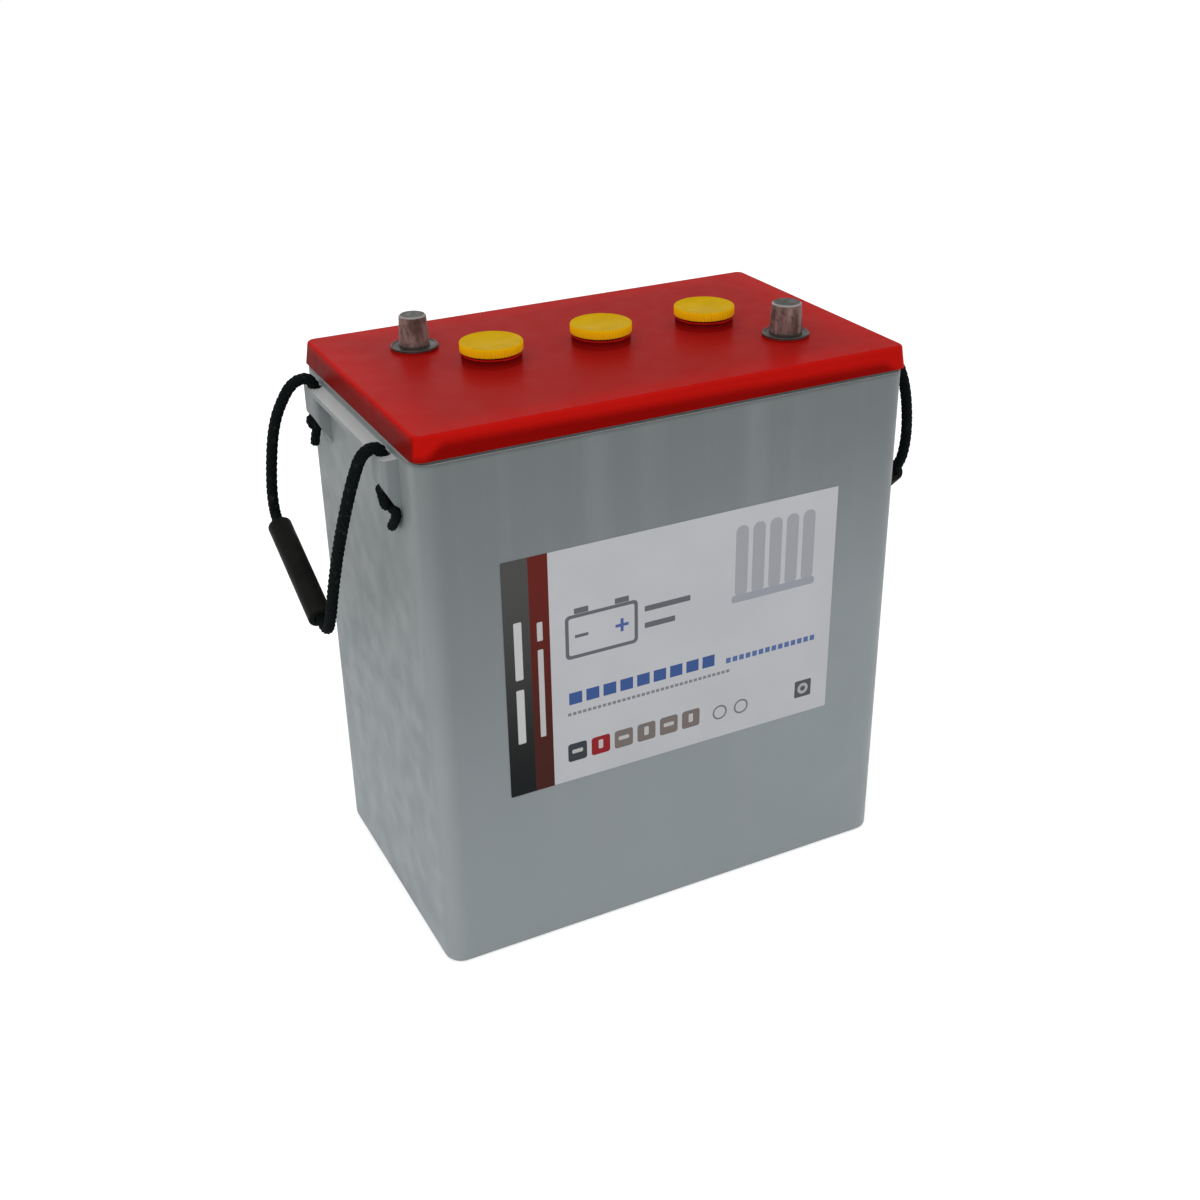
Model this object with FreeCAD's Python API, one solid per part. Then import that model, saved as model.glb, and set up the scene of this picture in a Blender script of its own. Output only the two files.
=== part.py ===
import FreeCAD, Part
import math
import os

# Tubular plate traction battery of three cells in one moulded case.
# Millimetres, +Z up, +X along the length, the label looks towards -Y.
# The origin is the middle of the case's underside.

Vector = FreeCAD.Vector
UP = Vector(0, 0, 1)

# Moulded case
case_length = 305.4
case_width = 186.0
case_height = 325.5
case_wall = 4.0
case_floor = 5.0
case_corner_radius = 11.0
case_base_round = 3.0
seam_height = 2.0
seam_depth = 1.2
partition_thickness = 2.5
cell_count = 3

# Ribs on the floor that the plates stand on
rest_rib_height = 18.0
rest_rib_thickness = 3.0
rest_rib_places = (-58.0, -24.0, 24.0, 58.0)

# Ledge and rope lugs at each end of the case
ledge_reach = 8.6
ledge_thickness = 3.0
ledge_drop = 5.3
lug_width = 21.0
lug_spacing = 117.2
lug_outer_height = 16.2
lug_wall_height = 32.1
lug_edge_round = 2.5
rope_hole_inset = 4.7
rope_hole_clearance = 0.2

# Lid
lid_overhang = 0.3
lid_height = 13.3
lid_plate = 4.0
lid_wall = 5.0
lid_corner_radius = 7.2
lid_draft = 2.1
lid_edge_round = 2.0

# Filler necks and their screw plugs
plug_spacing = 69.4
neck_bore_radius = 12.0
neck_outer_radius = 17.4
neck_height = 5.8
neck_depth = 6.0
neck_edge_round = 0.8
plug_clearance = 0.25
plug_wall = 2.0
plug_length = 23.0
plug_head_radius = 18.1
plug_head_height = 5.3
plug_notches = 60
plug_notch_depth = 0.5
plug_notch_share = 0.3
plug_rim_width = 1.6
plug_rim_height = 0.6
plug_gas_hole_radius = 0.75
seal_thickness = 1.0
seal_width = 2.6
seal_slack = 0.6
baffle_thickness = 1.2
baffle_hole_radius = 1.2
baffle_hole_count = 6
baffle_lift = 1.0

# Terminals
terminal_boss_height = 1.4
terminal_offset = 42.8
terminal_height = 18.3
terminal_taper = 1.0 / 9.0
positive_top_radius = 8.75
negative_top_radius = 7.95
terminal_chamfer = 0.9
post_shank_radius = 7.0
bushing_flange_radius = 13.9
bushing_flange_height = 0.8
bushing_rim_width = 1.4
bushing_rim_rise = 0.4
bushing_barrel_radius = 11.0
bushing_barrel_depth = 9.0
bushing_groove = 1.0
bushing_fit = 0.05

# Plate groups
plate_gap = 7.4
tube_pitch = 9.6
tube_radius = 4.6
tube_web = 2.0
spine_radius = 1.6
spine_fit = 0.1
bottom_bar_height = 6.0
spine_seat = 3.0
comb_lug_height = 23.0
top_bar_height = 8.0
top_bar_thickness = 6.0
negative_thickness = 4.6
negative_overreach = 11.0
separator_sheet = 0.8
separator_rib = 1.2
separator_rib_count = 12
separator_overhang = 2.4
separator_overreach = 8.0
plate_lug_width = 20.0
plate_lug_thickness = 4.0
strap_drop = 39.5
strap_height = 10.0
strap_width = 22.0
strap_tab_thickness = 6.0
strap_tab_height = 22.0
connector_radius = 7.0
guard_thickness = 1.2
guard_gap = 0.8
guard_hole_radius = 3.0
guard_rows = 4
guard_columns = 6

# Label
label_length = 217.1
label_height = 151.0
label_thickness = 0.3
label_centre_x = -0.3
label_bottom = 109.0
label_corner_radius = 0.8

# Rope handles
rope_diameter = 7.0
grip_length = 79.5
grip_radius = 7.25
grip_bore_clearance = 0.6
grip_edge_round = 1.0
grip_start = 9.5
rope_seat = 8.5
rope_bow = 5.8
knot_radius = 6.2
knot_drop = 27.8
knot_overhang = 1.0
knot_tail_drop = 43.5
arc_share = 0.45

# Two lengths closer than this count as equal
tolerance = 0.01

# Worked out from the sizes above
half_length = case_length / 2
half_width = case_width / 2
lid_top = case_height + lid_height
inner_width = case_width - 2 * case_wall
cell_inner = (case_length - 2 * case_wall - (cell_count - 1) * partition_thickness) / cell_count
cell_pitch = cell_inner + partition_thickness
cell_places = [(number - (cell_count - 1) / 2) * cell_pitch for number in range(cell_count)]
partition_places = [(left + right) / 2 for left, right in zip(cell_places, cell_places[1:])]
plug_places = [(number - (cell_count - 1) / 2) * plug_spacing for number in range(cell_count)]
ledge_top = case_height - ledge_drop
rope_radius = rope_diameter / 2
rope_hole_radius = rope_radius + rope_hole_clearance
rope_hole_x = half_length + ledge_reach - rope_hole_inset
rope_hole_y = lug_spacing / 2
neck_top = lid_top + neck_height
plug_head_bottom = neck_top + seal_thickness
plug_stem_radius = neck_bore_radius - plug_clearance
terminal_seat = lid_top + terminal_boss_height
plate_width = inner_width - 2 * plate_gap
tube_count = int(plate_width / tube_pitch + tolerance)
positive_thickness = 2 * tube_radius
separator_thickness = separator_sheet + separator_rib
separator_width = plate_width + 2 * separator_overhang
plate_pitch = positive_thickness + negative_thickness + 2 * separator_thickness
positive_count = int((cell_inner - negative_thickness) / plate_pitch)
negative_count = positive_count + 1
separator_count = 2 * positive_count
stack_thickness = (
    negative_count * negative_thickness
    + positive_count * positive_thickness
    + separator_count * separator_thickness
)
plate_rest = case_floor + rest_rib_height
tube_bottom = plate_rest + bottom_bar_height
strap_bottom = case_height - strap_drop
strap_top = strap_bottom + strap_height
tube_top = strap_bottom - comb_lug_height
tube_height = tube_top - tube_bottom
negative_height = tube_height + negative_overreach
separator_height = negative_height + separator_overreach
guard_width = 2 * (terminal_offset - guard_gap) - strap_width


def save(name, shape):
    shape.exportStep("parts/%s.step" % name)


def box(x_size, y_size, z_size, x, y, bottom):
    """A block centred on x and y that stands on the height bottom."""
    return Part.makeBox(x_size, y_size, z_size, Vector(x - x_size / 2, y - y_size / 2, bottom))


def disc(radius, height, x, y, bottom):
    return Part.makeCylinder(radius, height, Vector(x, y, bottom), UP)


def ring(outer, inner, height, x, y, bottom):
    return disc(outer, height, x, y, bottom).cut(disc(inner, height, x, y, bottom))


def moved(shape, x=0.0, y=0.0, z=0.0):
    copy = shape.copy()
    copy.translate(Vector(x, y, z))
    return copy


def fuse_all(shapes):
    return shapes[0].multiFuse(shapes[1:]).removeSplitter()


def rounded_outline(length, width, radius, z):
    """A rectangle with round corners, centred on the origin, at the height z."""
    x = length / 2 - radius
    y = width / 2 - radius
    bend = radius * math.sqrt(0.5)
    edges = []
    corners = [(x, y, 1, 1), (-x, y, -1, 1), (-x, -y, -1, -1), (x, -y, 1, -1)]
    ends = []
    for corner_x, corner_y, side_x, side_y in corners:
        along_x = Vector(corner_x + side_x * radius, corner_y, z)
        along_y = Vector(corner_x, corner_y + side_y * radius, z)
        middle = Vector(corner_x + side_x * bend, corner_y + side_y * bend, z)
        first, last = (along_x, along_y) if side_x == side_y else (along_y, along_x)
        edges.append(Part.Arc(first, middle, last).toShape())
        ends.append((first, last))
    for number, (first, last) in enumerate(ends):
        following = ends[(number + 1) % len(ends)][0]
        edges.append(Part.LineSegment(last, following).toShape())
    return Part.Wire(Part.__sortEdges__(edges))


def rounded_block(length, width, radius, bottom, height):
    outline = rounded_outline(length, width, radius, bottom)
    return Part.Face(outline).extrude(Vector(0, 0, height))


def edges_at_height(shape, z):
    return [
        edge for edge in shape.Edges
        if abs(edge.BoundBox.ZMin - z) < tolerance and abs(edge.BoundBox.ZMax - z) < tolerance
    ]


def turned(profile, x, y):
    """A solid of revolution about the vertical line at x, y, from points of radius and height."""
    points = [Vector(radius, 0, z) for radius, z in profile]
    outline = Part.makePolygon(points + [points[0]])
    solid = Part.Face(outline).revolve(Vector(0, 0, 0), UP, 360)
    return moved(solid, x, y)


# Case

def rope_lug(side, end):
    """A block under the ledge with a sloping foot; side is -1 or 1 along X, end along Y."""
    inside = half_length - case_wall / 2
    outside = half_length + ledge_reach
    points = [
        Vector(inside, 0, ledge_top),
        Vector(outside, 0, ledge_top),
        Vector(outside, 0, ledge_top - lug_outer_height),
        Vector(half_length, 0, ledge_top - lug_wall_height),
        Vector(inside, 0, ledge_top - lug_wall_height),
    ]
    block = Part.Face(Part.makePolygon(points + [points[0]])).extrude(Vector(0, lug_width, 0))
    upright = [
        edge for edge in block.Edges
        if abs(edge.BoundBox.XMin - outside) < tolerance and edge.BoundBox.YLength < tolerance
    ]
    block = block.makeFillet(lug_edge_round, upright)
    block.translate(Vector(0, end * rope_hole_y - lug_width / 2, 0))
    if side < 0:
        block = block.mirror(Vector(0, 0, 0), Vector(1, 0, 0))
    return block


def end_ledge(side):
    length = lug_spacing + lug_width
    inside = half_length - case_wall / 2
    reach = ledge_reach + case_wall / 2
    ledge = box(reach, length, ledge_thickness, side * (inside + reach / 2), 0, ledge_top - ledge_thickness)
    outside = side * (half_length + ledge_reach)
    corners = [
        edge for edge in ledge.Edges
        if edge.BoundBox.ZLength > ledge_thickness / 2 and abs(edge.BoundBox.XMin - outside) < tolerance
    ]
    return ledge.makeFillet(lug_edge_round, corners)


def case():
    wall_height = case_height - seam_height
    outside = rounded_block(case_length, case_width, case_corner_radius, 0, wall_height)
    outside = outside.makeFillet(case_base_round, edges_at_height(outside, 0))
    seam = rounded_block(
        case_length - 2 * seam_depth, case_width - 2 * seam_depth, case_corner_radius - seam_depth,
        wall_height, seam_height,
    )
    pieces = [outside, seam]
    for side in (-1, 1):
        pieces.append(end_ledge(side))
        for end in (-1, 1):
            pieces.append(rope_lug(side, end))
    body = fuse_all(pieces)

    hollow = rounded_block(
        case_length - 2 * case_wall, inner_width, case_corner_radius - case_wall,
        case_floor, case_height - case_floor,
    )
    for x in partition_places:
        hollow = hollow.cut(box(partition_thickness, case_width, case_height, x, 0, 0))
    for y in rest_rib_places:
        hollow = hollow.cut(box(case_length, rest_rib_thickness, rest_rib_height, 0, y, case_floor))
    body = body.cut(hollow)

    for number, x in enumerate(partition_places):
        body = body.cut(connector_core(number, x))
    for side in (-1, 1):
        for end in (-1, 1):
            hole = disc(rope_hole_radius, case_height, side * rope_hole_x, end * rope_hole_y, 0)
            body = body.cut(hole)
    return body


# Lid

def lid():
    length = case_length + 2 * lid_overhang
    width = case_width + 2 * lid_overhang
    foot = rounded_outline(length, width, lid_corner_radius, case_height)
    top = rounded_outline(
        length - 2 * lid_draft, width - 2 * lid_draft, lid_corner_radius - lid_draft, lid_top
    )
    shell = Part.makeLoft([foot, top], True, True)
    shell = shell.makeFillet(lid_edge_round, edges_at_height(shell, lid_top))
    hollow = rounded_block(
        length - 2 * lid_wall, width - 2 * lid_wall, case_corner_radius - case_wall,
        case_height, lid_height - lid_plate,
    )
    for x in partition_places:
        hollow = hollow.cut(box(partition_thickness, width, lid_height, x, 0, case_height))
    shell = shell.cut(hollow)

    for x in plug_places:
        neck = disc(neck_outer_radius, neck_height, x, 0, lid_top)
        neck = neck.makeFillet(neck_edge_round, edges_at_height(neck, neck_top))
        skirt_height = lid_height - lid_plate / 2 + neck_depth
        skirt = disc(neck_bore_radius + plug_wall, skirt_height, x, 0, case_height - neck_depth)
        shell = shell.fuse(neck).fuse(skirt)
    for x in plug_places:
        depth = neck_depth + lid_height + neck_height
        shell = shell.cut(disc(neck_bore_radius, depth, x, 0, case_height - neck_depth))
    for x, y in terminal_places():
        shell = shell.fuse(disc(bushing_flange_radius, terminal_boss_height, x, y, lid_top))
        depth = lid_height + terminal_boss_height
        shell = shell.cut(disc(bushing_barrel_radius, depth, x, y, case_height))
    return shell.removeSplitter()


# Vent plugs

def notched_outline(radius, notches, depth, z):
    """A closed outline of grip teeth: flats in turn at the radius and lower by the depth."""
    points = []
    step = math.pi / notches
    for number in range(2 * notches):
        reach = radius if number % 2 == 0 else radius - depth
        for offset in (-plug_notch_share, plug_notch_share):
            angle = (number + offset) * step
            points.append(Vector(reach * math.cos(angle), reach * math.sin(angle), z))
    return Part.makePolygon(points + [points[0]])


def vent_cap(x):
    outline = notched_outline(plug_head_radius, plug_notches, plug_notch_depth, plug_head_bottom)
    head = Part.Face(outline).extrude(Vector(0, 0, plug_head_height))
    dish = disc(plug_head_radius - plug_rim_width, plug_rim_height, 0, 0,
                plug_head_bottom + plug_head_height - plug_rim_height)
    head = head.cut(dish)
    overlap = plug_head_height / 2
    stem = disc(plug_stem_radius, plug_length + overlap, 0, 0, plug_head_bottom - plug_length)
    bore = disc(plug_stem_radius - plug_wall, plug_length + overlap, 0, 0, plug_head_bottom - plug_length)
    gas_hole = Part.makeCylinder(
        plug_gas_hole_radius, plug_head_radius, Vector(0, 0, plug_head_bottom + overlap / 2), Vector(0, 1, 0)
    )
    return moved(head.fuse(stem).cut(bore).cut(gas_hole), x)


def vent_seal(x):
    inner = neck_bore_radius + seal_slack
    return ring(inner + seal_width, inner, seal_thickness, x, 0, neck_top)


def vent_baffle(x):
    radius = plug_stem_radius - plug_wall
    bottom = plug_head_bottom - plug_length + baffle_lift
    plate = disc(radius, baffle_thickness, x, 0, bottom)
    for number in range(baffle_hole_count):
        angle = 2 * math.pi * number / baffle_hole_count
        reach = radius / 2
        hole = disc(baffle_hole_radius, baffle_thickness,
                    x + reach * math.cos(angle), reach * math.sin(angle), bottom)
        plate = plate.cut(hole)
    return plate


# Terminals

def terminal_places():
    """The negative terminal, then the positive one, over the first and the last cell."""
    return [(cell_places[0], terminal_offset), (cell_places[-1], -terminal_offset)]


def bushing(x, y):
    bore = post_shank_radius + bushing_fit
    barrel = bushing_barrel_radius - bushing_fit
    bottom = lid_top - bushing_barrel_depth
    flange_top = terminal_seat + bushing_flange_height
    profile = [
        (bore, bottom),
        (barrel, bottom),
        (barrel, bottom + 2 * bushing_groove),
        (barrel - bushing_groove, bottom + 2 * bushing_groove),
        (barrel - bushing_groove, bottom + 3 * bushing_groove),
        (barrel, bottom + 3 * bushing_groove),
        (barrel, terminal_seat),
        (bushing_flange_radius, terminal_seat),
        (bushing_flange_radius, flange_top),
        (bushing_flange_radius - bushing_rim_rise, flange_top + bushing_rim_rise),
        (bushing_flange_radius - bushing_rim_width + bushing_rim_rise, flange_top + bushing_rim_rise),
        (bushing_flange_radius - bushing_rim_width, flange_top),
        (bore, flange_top),
    ]
    return turned(profile, x, y)


def post(x, y, top_radius):
    foot = terminal_seat + bushing_flange_height
    top = foot + terminal_height
    foot_radius = top_radius + terminal_height * terminal_taper / 2
    profile = [
        (0, strap_top),
        (post_shank_radius, strap_top),
        (post_shank_radius, foot),
        (foot_radius, foot),
        (top_radius, top - terminal_chamfer),
        (top_radius - terminal_chamfer, top),
        (0, top),
    ]
    return turned(profile, x, y)


# Plate groups

def positive_side(cell):
    """The side along Y on which a cell's positive strap lies; it changes from cell to cell."""
    last = cell_count - 1
    return -1 if (last - cell) % 2 == 0 else 1


def stack_places(cell):
    """Middles along X of the negative plates, the positive plates and the separators of a cell."""
    x = cell_places[cell] - stack_thickness / 2
    negatives = []
    positives = []
    separators = []
    for number in range(negative_count):
        negatives.append(x + negative_thickness / 2)
        x += negative_thickness
        if number == positive_count:
            break
        separators.append((x + separator_thickness / 2, 1))
        x += separator_thickness
        positives.append(x + positive_thickness / 2)
        x += positive_thickness
        separators.append((x + separator_thickness / 2, -1))
        x += separator_thickness
    return negatives, positives, separators


def tube_row():
    return [(number - (tube_count - 1) / 2) * tube_pitch for number in range(tube_count)]


def tube_sheet():
    """A row of round tubes with their filling, joined by the seam between them."""
    half_web = tube_web / 2
    reach = math.sqrt(tube_radius ** 2 - half_web ** 2)
    row = tube_row()
    edges = []
    for side, places in ((1, row), (-1, row[::-1])):
        for number, y in enumerate(places):
            first = Vector(side * half_web, y - side * reach, tube_bottom)
            last = Vector(side * half_web, y + side * reach, tube_bottom)
            middle = Vector(side * tube_radius, y, tube_bottom)
            edges.append(Part.Arc(first, middle, last).toShape())
            if number + 1 < len(places):
                following = Vector(side * half_web, places[number + 1] - side * reach, tube_bottom)
                edges.append(Part.LineSegment(last, following).toShape())
            else:
                far = Vector(0, y + side * tube_radius, tube_bottom)
                around = Vector(-side * half_web, y + side * reach, tube_bottom)
                edges.append(Part.Arc(last, far, around).toShape())
    outline = Part.Wire(Part.__sortEdges__(edges))
    holes = [
        Part.Wire([Part.Circle(Vector(0, y, tube_bottom), UP, spine_radius + spine_fit).toShape()])
        for y in row
    ]
    return Part.Face([outline] + holes).extrude(Vector(0, 0, tube_height))


def spine_comb(side):
    """Cast comb of one positive plate: spines, top bar and lug."""
    bar = box(top_bar_thickness, plate_width, top_bar_height, 0, 0, tube_top)
    pieces = [bar, box(plate_lug_thickness, plate_lug_width, comb_lug_height, 0, side * terminal_offset, tube_top)]
    spine_bottom = tube_bottom - spine_seat
    for y in tube_row():
        pieces.append(disc(spine_radius, tube_top - spine_bottom + top_bar_height / 2, 0, y, spine_bottom))
    return fuse_all(pieces)


def bottom_bar():
    bar = box(positive_thickness, plate_width, bottom_bar_height, 0, 0, plate_rest)
    sockets = [
        disc(spine_radius + spine_fit, spine_seat, 0, y, tube_bottom - spine_seat) for y in tube_row()
    ]
    return bar.cut(Part.makeCompound(sockets))


def negative_plate(side):
    plate = box(negative_thickness, plate_width, negative_height, 0, 0, plate_rest)
    lug_height = strap_bottom - plate_rest
    lug = box(plate_lug_thickness, plate_lug_width, lug_height, 0, side * terminal_offset, plate_rest)
    return plate.fuse(lug).removeSplitter()


def separator(facing):
    """A thin sheet with upright ribs on the face towards the positive plate."""
    back = -separator_thickness / 2
    front = back + separator_sheet
    rib_top = separator_thickness / 2
    half = separator_width / 2
    points = [Vector(back, -half, plate_rest), Vector(front, -half, plate_rest)]
    step = separator_width / separator_rib_count
    for number in range(separator_rib_count):
        middle = -half + (number + 0.5) * step
        for x, offset in ((front, -0.5), (rib_top, -0.5), (rib_top, 0.5), (front, 0.5)):
            points.append(Vector(x, middle + offset * separator_rib, plate_rest))
    points += [Vector(front, half, plate_rest), Vector(back, half, plate_rest)]
    sheet = Part.Face(Part.makePolygon(points + [points[0]])).extrude(Vector(0, 0, separator_height))
    if facing < 0:
        sheet = sheet.mirror(Vector(0, 0, 0), Vector(1, 0, 0))
    return sheet


def strap(cell, polarity):
    """A cast bar over the plate lugs; towards a neighbour cell it carries an upright tab."""
    middle = cell_places[cell]
    y = terminal_offset * positive_side(cell) * polarity
    links_to = cell + polarity
    ends_at_post = links_to < 0 or links_to >= cell_count
    half_stack = stack_thickness / 2
    if ends_at_post:
        return box(stack_thickness, strap_width, strap_height, middle, y, strap_bottom)
    towards = 1 if links_to > cell else -1
    wall = middle + towards * cell_inner / 2
    far = middle - towards * half_stack
    bar = box(abs(wall - far), strap_width, strap_height, (wall + far) / 2, y, strap_bottom)
    tab_middle = wall - towards * strap_tab_thickness / 2
    tab = box(strap_tab_thickness, strap_width, strap_tab_height, tab_middle, y, strap_top)
    return bar.fuse(tab).removeSplitter()


def connector_core(number, x):
    """The round link through the partition between two neighbouring cells."""
    y = terminal_offset * positive_side(number)
    z = strap_top + strap_tab_height / 2
    start = Vector(x - partition_thickness / 2, y, z)
    return Part.makeCylinder(connector_radius, partition_thickness, start, Vector(1, 0, 0))


def plate_guard(cell):
    x = cell_places[cell]
    sheet = box(stack_thickness, guard_width, guard_thickness, x, 0, plate_rest + separator_height)
    for column in range(guard_columns):
        for row in range(guard_rows):
            hole_x = x + (column - (guard_columns - 1) / 2) * stack_thickness / guard_columns
            hole_y = (row - (guard_rows - 1) / 2) * guard_width / guard_rows
            hole = disc(guard_hole_radius, guard_thickness, hole_x, hole_y, plate_rest + separator_height)
            sheet = sheet.cut(hole)
    return sheet


# Label

def label():
    sheet = rounded_block(label_length, label_height, label_corner_radius, 0, label_thickness)
    sheet.rotate(Vector(0, 0, 0), Vector(1, 0, 0), 90)
    return moved(sheet, label_centre_x, -half_width, label_bottom + label_height / 2)


# Rope handles

# Corner points between the two rope holes: outwards from the holes, along Y, and down from the ledge
left_corners = [
    (12.4, -59.5, -5.8),
    (18.9, -58.5, 10.2),
    (22.7, -52.0, 32.2),
    (25.1, -38.0, 60.2),
    (26.2, -24.0, 89.2),
    (26.4, -14.5, 109.7),
    (26.4, -4.5, 123.9),
    (26.4, 85.5, 87.2),
    (27.4, 83.0, 70.2),
    (26.9, 76.5, 48.2),
    (25.4, 70.5, 28.2),
    (21.9, 65.0, 11.7),
    (12.9, 60.0, -5.8),
]
right_corners = [
    (12.4, -58.5, -5.8),
    (19.4, -58.2, 4.7),
    (24.4, -58.0, 20.2),
    (26.9, -58.6, 40.2),
    (27.6, -58.4, 58.2),
    (27.4, -53.5, 75.2),
    (27.4, 16.5, 145.2),
    (27.4, 27.0, 140.2),
    (27.2, 32.0, 125.7),
    (26.4, 38.0, 94.2),
    (24.9, 46.0, 65.2),
    (22.9, 52.5, 37.2),
    (18.9, 57.0, 12.2),
    (12.4, 58.5, -5.8),
]


def rope_route(side, corners):
    """Corner points of a rope, from the front hole to the back hole; side is -1 or 1 along X."""
    seat = ledge_top - rope_seat
    crest = ledge_top + rope_bow
    hole_x = side * rope_hole_x
    between = [Vector(hole_x + side * out, y, ledge_top - down) for out, y, down in corners]
    front = [Vector(hole_x, -rope_hole_y, seat), Vector(hole_x, -rope_hole_y, crest)]
    back = [Vector(hole_x, rope_hole_y, crest), Vector(hole_x, rope_hole_y, seat)]
    return front + between + back


def rope_tube(name, points):
    """A round tube along straight runs joined by the largest tangent arcs the runs allow."""
    edges = []
    start = points[0]
    radii = []
    for before, corner, after in zip(points, points[1:], points[2:]):
        into = corner.sub(before)
        out = after.sub(corner)
        turn = into.getAngle(out)
        cut = arc_share * min(into.Length, out.Length)
        radius = cut / math.tan(turn / 2)
        radii.append(radius)
        into.normalize()
        out.normalize()
        arc_start = corner.sub(into * cut)
        arc_end = corner.add(out * cut)
        inward = out.sub(into)
        inward.normalize()
        sagitta = radius / math.cos(turn / 2) - radius
        edges.append(Part.LineSegment(start, arc_start).toShape())
        edges.append(Part.Arc(arc_start, corner.add(inward * sagitta), arc_end).toShape())
        start = arc_end
    edges.append(Part.LineSegment(start, points[-1]).toShape())
    path = Part.Wire(edges)
    direction = points[1].sub(points[0])
    section = Part.Wire([Part.Circle(points[0], direction, rope_radius).toShape()])
    tube = path.makePipeShell([section], True, False)
    expected = math.pi * rope_radius ** 2 * path.Length
    print(name, "radii", [round(radius, 1) for radius in radii])
    print(name, "length", round(path.Length, 1), "volume", round(tube.Volume), "expected", round(expected))
    return tube


def grip(points, first):
    """The tube that the hand holds, on the long straight run that starts at the point first."""
    along = points[first + 1].sub(points[first])
    along.normalize()
    start = points[first].add(along * grip_start)
    outside = Part.makeCylinder(grip_radius, grip_length, start, along)
    bore = Part.makeCylinder(rope_radius + grip_bore_clearance, grip_length, start, along)
    round_length = 2 * math.pi * grip_radius
    rims = [edge for edge in outside.Edges if abs(edge.Length - round_length) < tolerance]
    return outside.makeFillet(grip_edge_round, rims).cut(bore)


def knot(side, end):
    """The rope's end below its lug: shank in the hole, lobe against the sloping foot, and tail."""
    x = side * rope_hole_x
    y = end * rope_hole_y
    top = ledge_top - rope_seat
    tail_bottom = ledge_top - knot_tail_drop
    shank = disc(rope_radius, top - tail_bottom, x, y, tail_bottom)
    lobe_x = side * (half_length + ledge_reach + knot_overhang)
    lobe = Part.makeSphere(knot_radius, Vector(lobe_x, y, ledge_top - knot_drop), Vector(1, 0, 0))
    return shank.fuse(lobe)


def build():
    os.makedirs("parts", exist_ok=True)
    save("case", case())
    save("lid", lid())
    save("front_label", label())

    (negative_x, negative_y), (positive_x, positive_y) = terminal_places()
    save("bushing_negative", bushing(negative_x, negative_y))
    save("bushing_positive", bushing(positive_x, positive_y))
    save("post_negative", post(negative_x, negative_y, negative_top_radius))
    save("post_positive", post(positive_x, positive_y, positive_top_radius))

    tubes = tube_sheet()
    bar = bottom_bar()
    sheets = {facing: separator(facing) for facing in (1, -1)}
    combs = {side: spine_comb(side) for side in (1, -1)}
    plates = {side: negative_plate(side) for side in (1, -1)}
    for cell in range(cell_count):
        number = cell + 1
        side = positive_side(cell)
        negatives, positives, separators = stack_places(cell)
        save("positive_spines_%d" % number, Part.makeCompound([moved(combs[side], x) for x in positives]))
        save("positive_tubes_%d" % number, Part.makeCompound([moved(tubes, x) for x in positives]))
        save("bottom_bars_%d" % number, Part.makeCompound([moved(bar, x) for x in positives]))
        save("negative_plates_%d" % number, Part.makeCompound([moved(plates[-side], x) for x in negatives]))
        save("separators_%d" % number,
             Part.makeCompound([moved(sheets[facing], x) for x, facing in separators]))
        save("positive_strap_%d" % number, strap(cell, 1))
        save("negative_strap_%d" % number, strap(cell, -1))
        save("plate_guard_%d" % number, plate_guard(cell))
        save("vent_cap_%d" % number, vent_cap(plug_places[cell]))
        save("vent_seal_%d" % number, vent_seal(plug_places[cell]))
        save("vent_baffle_%d" % number, vent_baffle(plug_places[cell]))
    for number, x in enumerate(partition_places):
        save("intercell_link_%d_%d" % (number + 1, number + 2), connector_core(number, x))

    for name, side, corners, grip_run in (("left", -1, left_corners, 8), ("right", 1, right_corners, 7)):
        route = rope_route(side, corners)
        save("rope_%s" % name, rope_tube("rope_%s" % name, route))
        save("grip_%s" % name, grip(route, grip_run))
        save("rope_knots_%s" % name, Part.makeCompound([knot(side, -1), knot(side, 1)]))


build()
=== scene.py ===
import math

import bpy
from mathutils import Matrix, Vector

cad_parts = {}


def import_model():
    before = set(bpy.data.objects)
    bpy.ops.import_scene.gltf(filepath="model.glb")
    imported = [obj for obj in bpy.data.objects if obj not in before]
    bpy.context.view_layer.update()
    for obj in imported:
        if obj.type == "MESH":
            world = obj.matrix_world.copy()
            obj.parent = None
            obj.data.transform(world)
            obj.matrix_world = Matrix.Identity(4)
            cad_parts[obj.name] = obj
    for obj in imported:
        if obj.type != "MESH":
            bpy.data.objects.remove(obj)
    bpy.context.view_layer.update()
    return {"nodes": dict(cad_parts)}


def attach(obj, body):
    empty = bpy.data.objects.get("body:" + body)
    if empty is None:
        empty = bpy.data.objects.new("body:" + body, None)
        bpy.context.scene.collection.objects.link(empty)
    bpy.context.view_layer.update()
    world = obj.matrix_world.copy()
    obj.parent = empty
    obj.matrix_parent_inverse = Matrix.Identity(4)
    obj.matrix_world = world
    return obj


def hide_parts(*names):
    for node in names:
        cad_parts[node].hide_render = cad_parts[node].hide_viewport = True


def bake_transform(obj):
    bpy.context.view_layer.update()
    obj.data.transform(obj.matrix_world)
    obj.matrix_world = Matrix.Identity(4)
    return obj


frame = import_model()

# Looks of a tubular plate battery: finishes, rope handles, knots, screw plugs and label.
# Metres, +Z up, +X along the length, the label looks towards -Y.

# Camera at the photograph's place, its picture 1200 pixels square
camera_place = Vector((-0.382195, -0.764350, 0.616091))
camera_right = Vector((0.892510, -0.450785, -0.014756))
camera_up = Vector((0.220929, 0.408426, 0.885651))
camera_forward = Vector((0.393212, 0.793713, -0.464116))
camera_lens = 45.384
camera_sensor = 36.0

# Light
world_light = 0.62
floor_colour = 0.80
floor_lift = 0.50
floor_size = 12.0
floor_roughness = 0.9
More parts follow.
